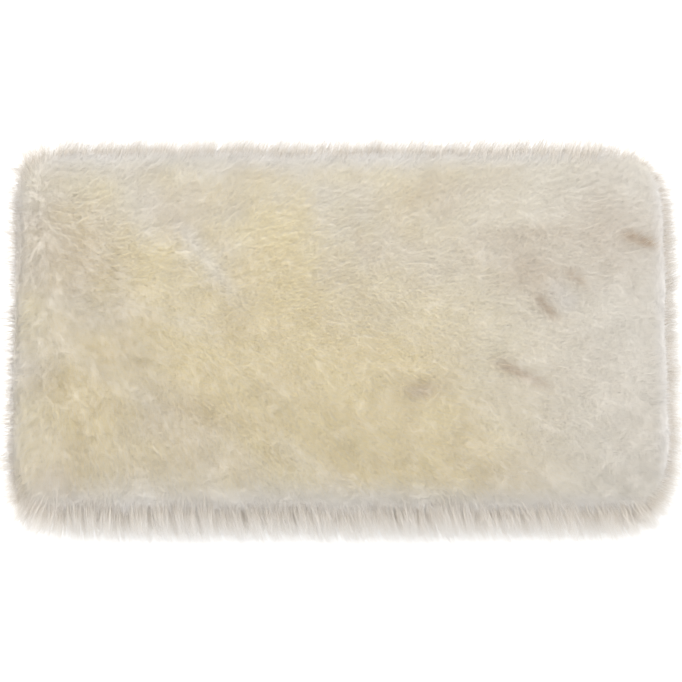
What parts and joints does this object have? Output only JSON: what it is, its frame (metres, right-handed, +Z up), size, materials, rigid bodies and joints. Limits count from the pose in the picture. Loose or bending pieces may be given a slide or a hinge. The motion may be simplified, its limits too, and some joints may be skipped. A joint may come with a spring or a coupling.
{
  "type": "wash mitt",
  "caption": "Rectangular lambswool wash mitt, wool on both faces, lined hand pocket open at one short end, knit cuff tucked inside the mouth.",
  "frame": {"origin": "centre of the resting face, under the middle of the mitt", "axes": "+Z up, +X along the length towards the fingertip end, +Y across the width"},
  "size_m": [0.28, 0.166, 0.062],
  "materials": {
    "wool": "combed lambswool, matt",
    "hide": "suede side of a tanned sheepskin",
    "lining": "woven cotton",
    "thread": "twisted sewing thread",
    "binding": "woven tape",
    "knit": "rib knit",
    "elastic": "covered elastic yarn",
    "label": "satin tape, blank"
  },
  "bodies": {
    "mitt": {"front_wool_pile": "wool", "back_wool_pile": "wool", "front_hide": "hide", "back_hide": "hide", "front_lining": "lining", "back_lining": "lining", "side_seam_thread": "thread", "lining_seam_thread": "thread", "mouth_binding": "binding", "binding_stitches": "thread"},
    "cuff": {"knit_cuff": "knit", "cuff_elastic_rings": "elastic", "cuff_hem_stitches": "thread", "care_label": "label", "label_stitches": "thread"}
  },
  "joints": [
    {"name": "cuff_pull_out", "type": "slide", "parent": "mitt", "child": "cuff", "axis": [-1, 0, 0], "range_m": [0, 0.052]}
  ]
}
